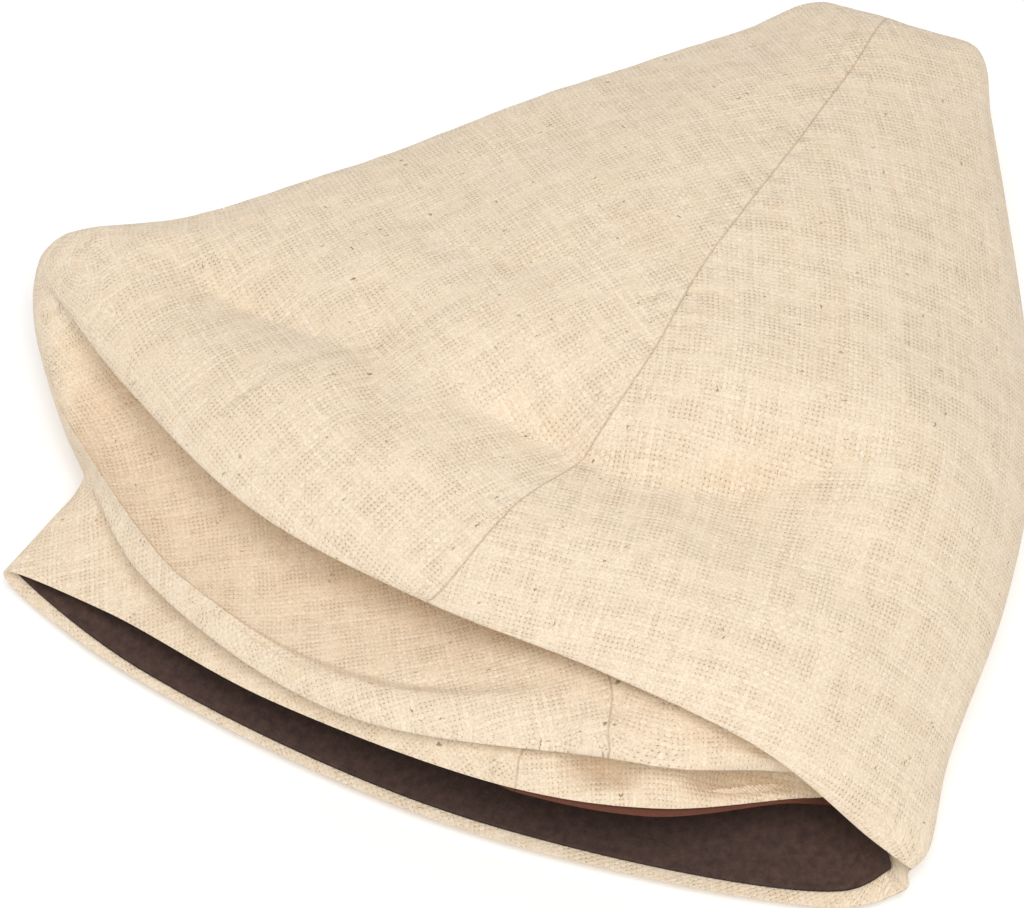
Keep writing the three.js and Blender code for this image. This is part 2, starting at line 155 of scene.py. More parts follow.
# Upward share of the cloth's normal where it starts to be moved, and where it is moved fully.
FACING = {"inwards": (-0.35, 0.1), "down": (0.05, 0.45)}

PEAK = {"thick": 4.4, "left": -62, "right": 112, "root_mid": -8, "root_ends": 3, "front_mid": 46,
        "steps": 96, "front_power": 0.75}
# The peak's rounded edge and its face: how far in from the outline, and the height there.
PEAK_EDGE = ((1, 0), (0.3, 0.35), (0, 1.1), (0, 3.3), (0.3, 4.05), (1, 4.4), (12, 4.4), (30, 4.4))
PEAK_CORE = 0.9  # no ring of the peak goes further in than this share of the way
OFF_SEAM = 50.0  # a place this far from the centre seam shows nothing of it
WALL_REST = 0.6  # air between the peak and the wall on it
REST_SLOPE = (1.1, 1.5)  # where the wall comes down to the surface, in peak sizes

# The flat cloth is solved on a coarse grid first: steps between its places, and rounds on that grid.
FLATTENING = ((16, 1600), (8, 500), (4, 250), (2, 120), (1, 60))
OVERSHOOT = 1.6  # each round moves a place by more than its springs ask for, to settle sooner
# The rounds come in parts, with ironing passes between them that keep the flat cloth from doubling back.
# Cells of the finest grid are ironed below this area in square millimetres. The left half has no passes,
# because they would squeeze the threads of the second ridge.
IRONING = {"parts": 6, "least": 0.05, "crown_left": 0, "crown_right": 100}
GRAIN = {  # turn of the threads on the flat cloth in degrees, on the top layer and on the folds under it
    "crown_left": (-69.0, -16.0), "crown_right": (8.0, 32.0),
}
TOP_LAYER = 7.6  # row number from which the cloth belongs to the top layer

CAMERA = {"azimuth": 22.3, "elevation": 57.0, "distance": 1200.0, "target": (0.7, -40.3, 30.0),
          "lens": 158.2, "sensor": 36, "clip": (0.05, 20)}
WORLD_LIGHT = 0.57
LIGHTS = (  # round area lights: distance and size in metres, power in watts
    {"name": "key", "azimuth": 28, "elevation": 65, "distance": 1.6, "size": 0.7, "power": 13.7},
    {"name": "side", "azimuth": -105, "elevation": 18, "distance": 1.6, "size": 1.0, "power": 2.4},
)
FLOOR = {"half": 3, "below": 0.4, "tone": 0.9, "glow": 0.16}  # half size in metres, depth in millimetres


def unit(v):
    return v / np.maximum(np.linalg.norm(v, axis=-1, keepdims=True), 1e-9)


def smoothstep(x, lo, hi):
    t = np.clip((x - lo) / (hi - lo), 0.0, 1.0)
    return t * t * (3.0 - 2.0 * t)


def between(a, b, c, d, t):
    """A place between b and c on a smooth curve through all four, which never loops over itself."""
    def knot(p, q):
        return np.maximum(np.sqrt(np.linalg.norm(p - q, axis=-1, keepdims=True)), 1e-3)

    t1 = knot(a, b)
    t2 = t1 + knot(b, c)
    t3 = t2 + knot(c, d)
    u = t1 + (t2 - t1) * t

    def mix(p, q, lo, hi):
        return p + (q - p) * (u - lo) / (hi - lo)

    ab, bc, cd = mix(a, b, 0.0, t1), mix(b, c, t1, t2), mix(c, d, t2, t3)
    return mix(mix(ab, bc, 0.0, t2), mix(bc, cd, t1, t3), t1, t2)


def side_turn(side, above, below, radius):
    """Two guard places that round the side of a ring above and below its outermost place."""
    flat = np.array([1.0, 1.0, 0.0])
    up = side + unit((above - side) * flat) * SIDE_TURN["up_out"] * radius
    down = side + unit((below - side) * flat) * SIDE_TURN["down_out"] * radius
    up[2] = side[2] + SIDE_TURN["rise"] * radius
    down[2] = max(side[2] - SIDE_TURN["rise"] * radius, below[2])
    return up, down


def ring_of(fold, over_corner=None):
    """One closed ring of the cap: seam, left side, floor, right side, back to the seam."""
    at = {name: np.array(place, float) - CENTRE for name, place in zip(STATIONS, fold[:-1])}
    round_left, round_right = fold[-1]
    left_up, left_down = side_turn(at["left"], at["outer_left"], at["floor_left"], round_left)
    right_up, right_down = side_turn(at["right"], at["outer_right"], at["floor_right"], round_right)
    if over_corner:
        right_up = np.array(over_corner, float) - CENTRE
    stations = np.array([
        at["seam"], at["inner_left"], at["outer_left"], left_up, at["left"], left_down, at["floor_left"],
        at["floor_mid"], at["floor_right"], right_down, at["right"], right_up, at["outer_right"],
        at["inner_right"],
    ])
    steps = HALF_STEPS + HALF_STEPS[::-1]
    count = len(stations)
    ring = []
    for i, step in enumerate(steps):
        a, b, c, d = (stations[(i + shift) % count] for shift in (-1, 0, 1, 2))
        t = np.arange(step)[:, None] / step
        ring.append(between(a, b, c, d, t))
    return np.concatenate(ring)


HALF = sum(HALF_STEPS)
AROUND = 2 * HALF
NEAR_TOP = np.interp(np.arange(AROUND), *zip(*NEAR_TOP_SHARES))


def end_ring():
    """The last ring is a flat line: its upper and lower places are the same."""
    left, right = (np.array(FAR_END[side], float) - CENTRE for side in ("left", "right"))
    seam = (left + right) / 2
    j = np.arange(AROUND)
    side = np.where((j < HALF)[:, None], left, right)
    local = np.where(j < HALF, j, AROUND - j)
    share = 1 - np.abs(1 - 2 * local / HALF)
    return seam + (side - seam) * share[:, None]


RINGS = np.array([ring_of(fold, UP_RIGHT.get(name)) for name, fold in FOLDS.items()] + [end_ring()])
LAST = len(RINGS) - 1


def rest_height(place):
    """The front wall rests on the turned-back peak, and beyond it on the surface."""
    middle, half = (PEAK["left"] + PEAK["right"]) / 2, (PEAK["right"] - PEAK["left"]) / 2
    across = np.abs(place[..., 0] + CENTRE[0] - middle) / half
    along = np.maximum(place[..., 1] + CENTRE[1], 0) / PEAK["front_mid"]
    reach = np.cbrt(across ** 3 + along ** 3)
    return (PEAK["thick"] + WALL_REST) * (1 - smoothstep(reach, *REST_SLOPE))


def outer_rows(u):
    """The outer face at these row numbers, fractions between rows, for every column."""
    u = np.asarray(u, float)
    i = np.minimum(u.astype(int), LAST - 1)
    mirrored = (HALF - np.arange(AROUND)) % AROUND
    before = np.concatenate([2 * RINGS[:1] - RINGS[1:2], RINGS[:-1]])
    after = np.concatenate([RINGS[1:], RINGS[LAST - 1:LAST, mirrored]])
    place = between(before[i], RINGS[i], RINGS[i + 1], after[i + 1], (u - i)[:, None, None])
    place[..., 2] = np.maximum(place[..., 2], rest_height(place))
    return place


def lengths(a, b):
    return np.linalg.norm(b - a, axis=-1)


def line_reach(x, y, line):
    """Distance from a line of places, positive on its far side, and the share along it from 0 to 1."""
    line = np.array(line, float)
    spans = lengths(line[:-1], line[1:])
    starts = np.concatenate([[0], spans.cumsum()])
    reach, share = np.full(x.shape, 1e9), np.zeros(x.shape)
    for a, b, span, start in zip(line[:-1], line[1:], spans, starts):
        step = (b - a) / span
        run = np.clip((x - a[0]) * step[0] + (y - a[1]) * step[1], 0, span)
        dx, dy = x - a[0] - step[0] * run, y - a[1] - step[1] * run
        gap = np.hypot(dx, dy)
        side = np.where(dy * step[0] > dx * step[1], 1, -1)
        closer = gap < np.abs(reach)
        reach = np.where(closer, side * gap, reach)
        share = np.where(closer, (start + run) / starts[-1], share)
    return reach, share


def lumps(x, y, size, seed):
    """Soft random lumps of about this size, from -1 to 1."""
    table = np.random.default_rng(seed).uniform(-1, 1, (LUMP_CELLS, LUMP_CELLS))
    middle = LUMP_CELLS // 2
    x, y = x / size + middle, y / size + middle
    i, j = x.astype(int), y.astype(int)
    s, t = smoothstep(x - i, 0, 1), smoothstep(y - j, 0, 1)
    i_next, j_next = (i + 1) % LUMP_CELLS, (j + 1) % LUMP_CELLS
    i, j = i % LUMP_CELLS, j % LUMP_CELLS
    low = table[i, j] * (1 - s) + table[i_next, j] * s
    high = table[i, j_next] * (1 - s) + table[i_next, j_next] * s
    return low * (1 - t) + high * t


def crease_depth(crease, rows, x, y):
    """How deep one crease is at each place."""
    reach, share = line_reach(x, y, crease["line"])
    size = np.where(reach > 0, crease["far"], crease["near"])
    soft = np.sqrt(reach ** 2 + CREASE_SHAPE["round"] ** 2) - CREASE_SHAPE["round"]
    first, last = crease["rows"]
    rise, fade = crease.get("rise", CREASE_SHAPE["rise"]), CREASE_SHAPE["fade"]
    window = smoothstep(rows, first, first + rise) * (1 - smoothstep(rows, last - fade, last))
    taper = (1 - (2 * share - 1) ** 2) ** CREASE_SHAPE["taper"]
    return crease["depth"] * np.exp(-soft / size) * taper * window


def hollow_depth(rows, x):
    """How deep the fold under the first ridge is at each place."""
    first, deep, deep_end, last = HOLLOW["rows"]
    window = smoothstep(rows, first, deep) * (1 - smoothstep(rows, deep_end, last))
    across = smoothstep(x, *HOLLOW["left"]) * (1 - smoothstep(x, *HOLLOW["right"]))
    return HOLLOW["depth"] * window * across


def sunk(u, place, out):
    """How each place of the outer face moves from the smooth folds into its creases and lumps."""
    x, y = place[..., 0] + CENTRE[0], place[..., 1] + CENTRE[1]
    rows = u[:, None]
    down, inwards = np.zeros(x.shape), np.zeros(x.shape)
    for crease in CREASES:
        depth = crease_depth(crease, rows, x, y)
        if crease.get("inwards"):
            inwards += depth
        else:
            down += depth
    down += hollow_depth(rows, x)
    for size, height, seed in LUMPS:
        down += lumps(x, y, size, seed) * height * smoothstep(rows, *LUMP_ROWS)
    shift = -out * inwards[..., None] * smoothstep(out[..., 2:], *FACING["inwards"])
    shift[..., 2] -= down * smoothstep(out[..., 2], *FACING["down"])
    return shift


def normals_of(grid):
    """Outward unit normals of a grid of closed rings, one row to each ring."""
    along = np.gradient(grid, axis=0)
    across = np.roll(grid, -1, axis=1) - np.roll(grid, 1, axis=1)
    return unit(np.cross(along, across))


def mesh_of(name, grids, material, layers=()):
    """One mesh of several grids of places, each with its layers of cloth coordinates.

    A grid is (places, wrapped round, {layer name: coordinates}).
    """
    places, faces = [], []
    coords = {layer: [] for layer in layers}
    start = 0
    for grid, wrap, maps in grids:
        rows, columns = grid.shape[:2]
        ids = start + np.arange(rows * columns).reshape(rows, columns)
        if wrap:
            ids = np.concatenate([ids, ids[:, :1]], axis=1)
        quads = np.stack([ids[:-1, :-1], ids[1:, :-1], ids[1:, 1:], ids[:-1, 1:]], axis=-1).reshape(-1, 4)
        places.append(grid.reshape(-1, 3))
        faces.append(quads)
        for layer in layers:
            coords[layer].append(maps[layer].reshape(-1, 2))
        start += rows * columns
    places, faces = np.concatenate(places), np.concatenate(faces)
    mesh = bpy.data.meshes.new(name)
    mesh.from_pydata((places * MM).tolist(), [], faces.tolist())
    for layer in layers:
        flat = np.concatenate(coords[layer])[faces.ravel()]
        mesh.uv_layers.new(name=layer).data.foreach_set("uv", flat.astype(np.float32).ravel())
    mesh.polygons.foreach_set("use_smooth", np.full(len(faces), True))
    mesh.materials.append(material)
    mesh.update()
    piece = bpy.data.objects.new(name, mesh)
    bpy.context.scene.collection.objects.link(piece)
    return piece


class Shading:
    """Short ways to add shader nodes to one material."""

    def __init__(self, name):
        self.material = bpy.data.materials.new(name)
        self.material.use_nodes = True
        self.tree = self.material.node_tree
        self.shader = self.tree.nodes["Principled BSDF"]

    def put(self, socket, value):
        if isinstance(value, bpy.types.NodeSocket):
            self.tree.links.new(value, socket)
        else:
            socket.default_value = value

    def math(self, operation, *values):
        node = self.tree.nodes.new("ShaderNodeMath")
        node.operation = operation
        for socket, value in zip(node.inputs, values):
            self.put(socket, value)
        return node.outputs[0]

    def add(self, a, b):
        return self.math("ADD", a, b)

    def times(self, a, b):
        return self.math("MULTIPLY", a, b)

    def fit(self, value, low, high, to_low=0.0, to_high=1.0, smooth=False):
        node = self.tree.nodes.new("ShaderNodeMapRange")
        node.interpolation_type = "SMOOTHSTEP" if smooth else "LINEAR"
        for name, setting in (("Value", value), ("From Min", low), ("From Max", high),
                              ("To Min", to_low), ("To Max", to_high)):
            self.put(node.inputs[name], setting)
        return node.outputs[0]

    def blend(self, share, a, b):
        """Number a where share is 0 and b where it is 1."""
        return self.add(a, self.times(share, self.math("SUBTRACT", b, a)))

    def colour(self, share, a, b):
        """Colour a where share is 0 and b where it is 1."""
        node = self.tree.nodes.new("ShaderNodeMix")
        node.data_type = "RGBA"
        self.put(node.inputs[0], share)
        self.put(node.inputs[6], a)
        self.put(node.inputs[7], b)
        return node.outputs[2]

    def vector(self, x, y, z=0.0):
        node = self.tree.nodes.new("ShaderNodeCombineXYZ")
        for socket, value in zip(node.inputs, (x, y, z)):
            self.put(socket, value)
        return node.outputs[0]

    def parts(self, vector):
        node = self.tree.nodes.new("ShaderNodeSeparateXYZ")
        self.put(node.inputs[0], vector)
        return node.outputs[0], node.outputs[1]

    def uv(self, layer):
        node = self.tree.nodes.new("ShaderNodeUVMap")
        node.uv_map = layer
        return self.parts(node.outputs[0])

    def noise(self, vector, scale=1.0, detail=2.0, roughness=0.5):
        node = self.tree.nodes.new("ShaderNodeTexNoise")
        node.noise_dimensions = "3D"
        for name, value in (("Vector", vector), ("Scale", scale), ("Detail", detail),
                            ("Roughness", roughness)):
            self.put(node.inputs[name], value)
        return node.outputs[0]

    def random(self, vector):
        node = self.tree.nodes.new("ShaderNodeTexWhiteNoise")
        node.noise_dimensions = "3D"
        self.put(node.inputs["Vector"], vector)
        return node.outputs[0]

    def cells(self, vector):
        """Distance to the nearest of scattered points, and a random number for each point."""
        node = self.tree.nodes.new("ShaderNodeTexVoronoi")
        node.voronoi_dimensions = "3D"
        self.put(node.inputs["Vector"], vector)
        self.put(node.inputs["Scale"], 1.0)
        return node.outputs["Distance"], self.random(node.outputs["Position"])

    def bump(self, height, metres):
        node = self.tree.nodes.new("ShaderNodeBump")
        self.put(node.inputs["Strength"], 1.0)
        self.put(node.inputs["Distance"], metres)
        self.put(node.inputs["Height"], height)
        self.put(self.shader.inputs["Normal"], node.outputs[0])

    def set(self, **values):
        names = {"colour": "Base Color", "roughness": "Roughness", "specular": "Specular IOR Level",
                 "sheen": "Sheen Weight", "sheen_roughness": "Sheen Roughness"}
        for key, value in values.items():
            self.put(self.shader.inputs[names[key]], value)


def linear(value):
    """The linear light of a screen value from 0 to 255."""
    share = value / 255
    return share / 12.92 if value <= 10 else ((share + 0.055) / 1.055) ** 2.4


def rgb(red, green, blue):
    """A colour socket value from 0 to 255 screen values."""
    return (linear(red), linear(green), linear(blue), 1)


# Plain weave of uneven linen threads: lengths in millimetres, thread widths in shares of the pitch. A share
# of a thread's width, called own, is the thread's own random number, and the rest is its slubs. Where it
# passes under another thread, it keeps the share called under of its height.
WEAVE = {
    "pitch": 1.28, "thin": 0.66, "thick": 1.04, "wander": 0.7, "wander_scale": 0.05, "height": 0.27,
    "own": 0.45, "slub_scale": 0.075, "slub_apart": 7.31, "slub_range": (0.32, 0.68), "under": 0.12,
    "warp_seed": 11.0, "weft_seed": 47.0,
}
# The colour given for the seam's groove is painted shadow, not a thread colour.
LINEN = {
    "light": rgb(249, 233, 209), "warm": rgb(238, 217, 189), "gap": rgb(178, 150, 117),
    "fleck": rgb(140, 111, 84), "shadow_in_groove": rgb(206, 176, 144),
}
# Flecks: cells along x and y in millimetres, the share of cells with a fleck, its size and its strength.
FLECKS = (
    (7.0, 1.6, 0.07, 0.16, 0.8),
    (1.6, 7.0, 0.07, 0.16, 0.8),
    (2.6, 2.2, 0.04, 0.22, 0.6),
    (11.0, 9.0, 0.10, 0.09, 0.8),
)
FLECK_CORE = 0.4  # a fleck has its full tone out to this share of its size
TORN = 1.6  # how ragged the flecks are, in millimetres
# The centre seam: distances from its line and heights in millimetres, and the share of painted shadow that
# darkens its groove.
SEAM = {
    "groove": (0.05, 0.40), "groove_shadow_share": 0.55, "groove_deep": 0.2,
    "press": (5.0, 7.6), "press_rough": 1.6, "press_high": 0.7,
    "pucker": (0.0, 12.0), "pucker_high": 0.9,
}
FUZZ_HIGH = 0.22  # in millimetres, as are the soft waves of the cloth
WAVES_HIGH = 0.9
UNDER_NAP = 0.35  # the weave's height under full nap, as a share of its height without


def thread(s, across, along, seed):
    """One set of parallel threads: (height over the cloth's middle, tone from 0 to 1, thread number)."""
    number = s.math("FLOOR", across)
    inside = s.math("SUBTRACT", s.math("FRACT", across), 0.5)
    own = s.random(s.vector(number, seed, 3.1))
    slub_place = s.vector(s.times(number, WEAVE["slub_apart"]), s.times(along, WEAVE["slub_scale"]), seed)
    slub = s.fit(s.noise(slub_place, detail=2.0, roughness=0.55), *WEAVE["slub_range"])
    size = s.add(s.times(own, WEAVE["own"]), s.times(slub, 1 - WEAVE["own"]))
    half = s.times(s.fit(size, 0.0, 1.0, WEAVE["thin"], WEAVE["thick"]), 0.5)
    ratio = s.math("DIVIDE", inside, half)
    round_top = s.math("SQRT", s.math("MAXIMUM", s.math("SUBTRACT", 1.0, s.times(ratio, ratio)), 0.0))
    return round_top, size, number


def weave(s, x, y):
    """Height from 0 to 1 and tone of a plain weave."""
    push = s.noise(s.vector(x, y), scale=WEAVE["wander_scale"], detail=2.0)
    pull = s.noise(s.vector(y, x, 9.0), scale=WEAVE["wander_scale"], detail=2.0)
    x = s.add(x, s.times(s.math("SUBTRACT", push, 0.5), 2 * WEAVE["wander"]))
    y = s.add(y, s.times(s.math("SUBTRACT", pull, 0.5), 2 * WEAVE["wander"]))
    a, b = s.math("DIVIDE", x, WEAVE["pitch"]), s.math("DIVIDE", y, WEAVE["pitch"])
    warp, warp_tone, i = thread(s, a, b, WEAVE["warp_seed"])
    weft, weft_tone, j = thread(s, b, a, WEAVE["weft_seed"])
    over = s.math("COSINE", s.times(s.add(s.math("SUBTRACT", b, 0.5), i), math.pi))
    under = s.math("COSINE", s.times(s.add(s.math("SUBTRACT", a, 0.5), j), math.pi))
    high = s.times(warp, s.fit(over, -1.0, 1.0, WEAVE["under"], 1.0))
    low = s.times(weft, s.fit(under, -1.0, 1.0, 1.0, WEAVE["under"]))
    top = s.math("GREATER_THAN", high, low)
    height = s.math("MAXIMUM", high, low)
    return height, s.blend(top, weft_tone, warp_tone)


def flecks(s, x, y, along, across, share, size):
    """Scattered dark bits: cells of these sizes in millimetres, some of them with a fleck."""
    near, own = s.cells(s.vector(s.math("DIVIDE", x, along), s.math("DIVIDE", y, across)))
    spot = s.fit(near, size * FLECK_CORE, size, 1.0, 0.0, smooth=True)
    return s.times(spot, s.math("LESS_THAN", own, share))


def linen_tint(s, x, y, height, tone, nap, fuzz):
    """Colour of the cloth: threads, their gaps, nap, patches and flecks."""
    place = s.vector(x, y)
    cloth = s.colour(s.fit(tone, 0.15, 0.9), LINEN["warm"], LINEN["light"])
    patch = s.noise(place, scale=0.045, detail=2.0, roughness=0.6)
    cloth = s.colour(s.fit(patch, 0.35, 0.7, 0.0, 0.3), cloth, LINEN["warm"])
    gap = s.fit(height, 0.0, 0.42, 1.0, 0.0, smooth=True)
    cloth = s.colour(s.times(gap, s.fit(nap, 0.0, 1.0, 0.9, 0.12)), cloth, LINEN["gap"])
    cloth = s.colour(s.fit(fuzz, 0.42, 0.75, 0.0, 0.44), cloth, LINEN["gap"])
    torn = s.times(s.math("SUBTRACT", s.noise(place, scale=1.3, detail=2.0), 0.5), TORN)
    torn_x, torn_y = s.add(x, torn), s.add(y, torn)
    for along, across, share, size, strength in FLECKS:
        spot = flecks(s, torn_x, torn_y, along, across, share, size)
        cloth = s.colour(s.times(spot, strength), cloth, LINEN["fleck"])
    return cloth


def seam_relief(s, side, along, groove):
    """Height of the centre seam, pressed open: its two pressed edges, its puckers and its groove."""
    off = s.math("ABSOLUTE", side)
    rough = s.math("SUBTRACT", s.noise(s.vector(along, 4.0), scale=0.2, detail=1.0), 0.5)
    off_rough = s.add(off, s.times(rough, SEAM["press_rough"]))
    press = s.fit(off_rough, *SEAM["press"], 1.0, 0.0, smooth=True)
    worn = s.fit(s.noise(s.vector(along, side), scale=0.12, detail=2.0), 0.35, 0.65)
    pucker = s.noise(s.vector(s.times(side, 0.06), s.times(along, 0.2)), detail=2.0)
    near = s.fit(off, *SEAM["pucker"], 1.0, 0.0, smooth=True)
    pucker = s.times(s.math("SUBTRACT", pucker, 0.5), near)
    relief = s.add(s.times(s.times(press, worn), SEAM["press_high"]), s.times(pucker, SEAM["pucker_high"]))
    return s.math("SUBTRACT", relief, s.times(groove, SEAM["groove_deep"]))


def linen_material():
    """Uneven plain-woven linen with slubs, nap and flecks, and the centre seam pressed open, its groove
    darkened with painted shadow.
    """
    s = Shading("linen")
    x, y = s.uv("cloth")
    side, along = s.uv("seam")
    height, tone = weave(s, x, y)
    place = s.vector(x, y)
    nap = s.fit(s.noise(place, scale=0.16, detail=3.0, roughness=0.62), 0.40, 0.62, smooth=True)
    fuzz = s.noise(place, scale=1.7, detail=2.0, roughness=0.7)
    groove = s.fit(s.math("ABSOLUTE", side), *SEAM["groove"], 1.0, 0.0, smooth=True)
    cloth = linen_tint(s, x, y, height, tone, nap, fuzz)
    # Painted shadow: the colour is darkened along the seam's groove.
    cloth = s.colour(s.times(groove, SEAM["groove_shadow_share"]), cloth, LINEN["shadow_in_groove"])
    relief = s.times(height, s.times(s.fit(nap, 0.0, 1.0, 1.0, UNDER_NAP), WEAVE["height"]))
    relief = s.add(relief, s.times(fuzz, FUZZ_HIGH))
    relief = s.add(relief, s.times(s.noise(place, scale=0.09, detail=3.0), WAVES_HIGH))
    relief = s.add(relief, seam_relief(s, side, along, groove))
    s.bump(relief, MM)
    s.set(colour=cloth, roughness=0.95, specular=0.12, sheen=0.15, sheen_roughness=0.5)
    return s.material


# The band's cloth: colours, and the distance between its twill lines and the reddish edge in millimetres.
BAND_CLOTH = {
    "dark": rgb(69, 53, 49), "worn": rgb(98, 76, 67), "speck": rgb(60, 46, 44), "edge": rgb(112, 66, 50),
    "twill": 0.9, "twill_high": 0.03, "speck_high": 0.12, "edge_ends": (-3.0, -0.5),
}


def band_material():
    """Matt dark brown cloth, fine twill lines, a little worn and reddish at its edge."""
    s = Shading("band_cloth")
    x, y = s.uv("cloth")
    line = s.math("SINE", s.times(s.add(x, y), 2 * math.pi / BAND_CLOTH["twill"]))
    nap = s.noise(s.vector(x, y), scale=0.35, detail=4.0, roughness=0.65)
    fine = s.noise(s.vector(x, y), scale=2.6, detail=2.0)
    tint = s.colour(s.fit(nap, 0.3, 0.7), BAND_CLOTH["dark"], BAND_CLOTH["worn"])
    tint = s.colour(s.fit(fine, 0.3, 0.7, 0.0, 0.3), tint, BAND_CLOTH["speck"])
    edge = s.fit(y, *BAND_CLOTH["edge_ends"], 0.75, 0.0, smooth=True)
    tint = s.colour(edge, tint, BAND_CLOTH["edge"])
    s.bump(s.add(s.times(line, BAND_CLOTH["twill_high"]), s.times(fine, BAND_CLOTH["speck_high"])), MM)
    s.set(colour=tint, roughness=0.9, specular=0.2, sheen=0.08, sheen_roughness=0.4)
    return s.material


def fold_places():
    """Row numbers of the mesh, FOLD_STEPS to each fold."""
    return np.concatenate([i + np.arange(step) / step for i, step in enumerate(FOLD_STEPS)] + [[LAST]])


def crown_grid():
    """Outer face of the crown: row numbers, and places without and with the creases."""
    u = fold_places()
    smooth = outer_rows(u)
    outer = smooth + sunk(u, smooth, normals_of(smooth))
    return u, smooth, outer


def relax(flat, springs, rounds):
    """Moves the places of a flat grid until its springs have their real lengths."""
    for _ in range(rounds):
        move = np.zeros_like(flat)
        weight = np.zeros(flat.shape[:2] + (1,))
        for (near, far), rest in springs:
            span = flat[far] - flat[near]
            size = np.maximum(np.linalg.norm(span, axis=-1), 1e-6)
            pull = span * (0.5 * (1 - rest / size))[..., None]
            move[near] += pull
            move[far] -= pull
            weight[near] += 1
            weight[far] += 1
        flat = flat + OVERSHOOT * move / weight
    return flat


def cloth_springs(place):
    """Edges and diagonals of a grid of places on the cap, with their lengths along the cloth."""
    whole, low, high = slice(None), slice(None, -1), slice(1, None)
    pairs = [((low, whole), (high, whole)), ((whole, low), (whole, high)),
             ((low, low), (high, high)), ((high, low), (low, high))]
    return [((near, far), lengths(place[near], place[far])) for near, far in pairs]


def cell_areas(flat):
    """Signed areas of the cells of a flat grid."""
    a, b, c, d = flat[:-1, :-1], flat[1:, :-1], flat[1:, 1:], flat[:-1, 1:]
    p, q = c - a, d - b
    return 0.5 * (p[..., 0] * q[..., 1] - p[..., 1] * q[..., 0])


def ironed(flat, least, passes):
    """Evens out a flat grid only where its cells are doubled back or smaller than this."""
    way = np.sign(np.median(cell_areas(flat)))
    for _ in range(passes):
        bad = cell_areas(flat) * way <= least
        if not bad.any():
            break
        near = np.zeros(flat.shape[:2], bool)
        near[:-1, :-1] |= bad
        near[1:, :-1] |= bad
        near[1:, 1:] |= bad
        near[:-1, 1:] |= bad
        wide = np.pad(flat, ((1, 1), (1, 1), (0, 0)), mode="edge")
        beside = (wide[:-2, 1:-1] + wide[2:, 1:-1] + wide[1:-1, :-2] + wide[1:-1, 2:]) / 4
        flat = np.where(near[..., None], beside, flat)
    return flat


def read_rows(grid, known, wanted):
    """A grid known at some rows, read at others between them."""
    columns = grid.reshape(len(known), -1).T
    read = np.stack([np.interp(wanted, known, column) for column in columns], axis=-1)
    return read.reshape(len(wanted), *grid.shape[1:])


def resampled(grid, old_i, old_j, i, j):
    """A grid known at some rows and columns, read at others between them."""
    tall = read_rows(grid, old_i, i)
    return read_rows(tall.swapaxes(0, 1), old_j, j).swapaxes(0, 1)


def cloth_runs(place, axis):
    """Lengths along the cloth from the first place of each row or column."""
    ends = [np.delete(place, end, axis=axis) for end in (-1, 0)]
    pads = [(0, 0), (0, 0)]
    pads[axis] = (1, 0)
    return np.cumsum(np.pad(lengths(*ends), pads), axis=axis)


def flattened(place, passes):
    """The cloth of one half laid flat, in millimetres: x across from the seam, y along it.

    It is solved on a coarse grid first and then on finer ones.
    """
    rows, columns = place.shape[:2]
    flat = None
    for step, rounds in FLATTENING:
        i = np.unique(np.append(np.arange(0, rows, step), rows - 1))
        j = np.unique(np.append(np.arange(0, columns, step), columns - 1))
        coarse = place[np.ix_(i, j)]
        if flat is None:
            start = np.stack([cloth_runs(coarse, 1), cloth_runs(coarse, 0)], axis=-1)
        else:
            start = resampled(flat, last_i, last_j, i, j)
        least = IRONING["least"] * step * step
        flat = ironed(start, least, passes)
        for _ in range(IRONING["parts"]):
            flat = relax(flat, cloth_springs(coarse), rounds // IRONING["parts"])
            flat = ironed(flat, least, passes)
        last_i, last_j = i, j
    return flat


def band_face(share):
    """The outer face of the sweatband at these shares of its depth, and its outward normals."""
    first = ring_of(BAND_RIM, BAND_UP_RIGHT["rim"])
    last = ring_of(BAND_END, BAND_UP_RIGHT["end"])
    share = np.asarray(share)[:, None]
    face = first + (last - first) * share[..., None]
    face[..., 2] -= BAND["sag"] * NEAR_TOP * smoothstep(share, 0, BAND["sag_from"])
    return face, normals_of(face)


def rim_hem(outer):
    """The rim rolls over the edge and runs back between the wall and the sweatband."""
    face, out = band_face(np.linspace(0, HEM["share"], HEM["steps"]))
    inside = (face + out * HEM["clear"])[::-1]
    ahead = unit(outer[0] - outer[1])
    over = outer[0] - inside[-1]
    roll = [outer[0] - over * (1 + math.cos(angle)) / 2 + ahead * math.sin(angle) * HEM["bulge"]
            for angle in np.linspace(0, math.pi, HEM["roll"] + 1)[1:-1]]
    return np.concatenate([inside, roll])


def turned(flat, degrees):
    """Cloth coordinates turned by this angle."""
    cosine, sine = math.cos(math.radians(degrees)), math.sin(math.radians(degrees))
    x, y = flat[..., 0], flat[..., 1]
    return np.stack([x * cosine + y * sine, y * cosine - x * sine], axis=-1)


def half_cloth(name, place):
    """The cloth of one half laid flat, and its distance from the seam beside its place along it."""
    seam_first = place if name == "crown_left" else place[:, ::-1]
    flat = flattened(seam_first, IRONING[name])
    seam = np.stack([cloth_runs(seam_first, 1), flat[..., 1]], axis=-1)
    if name == "crown_right":
        flat, seam = flat[:, ::-1], seam[:, ::-1]
    return flat, seam


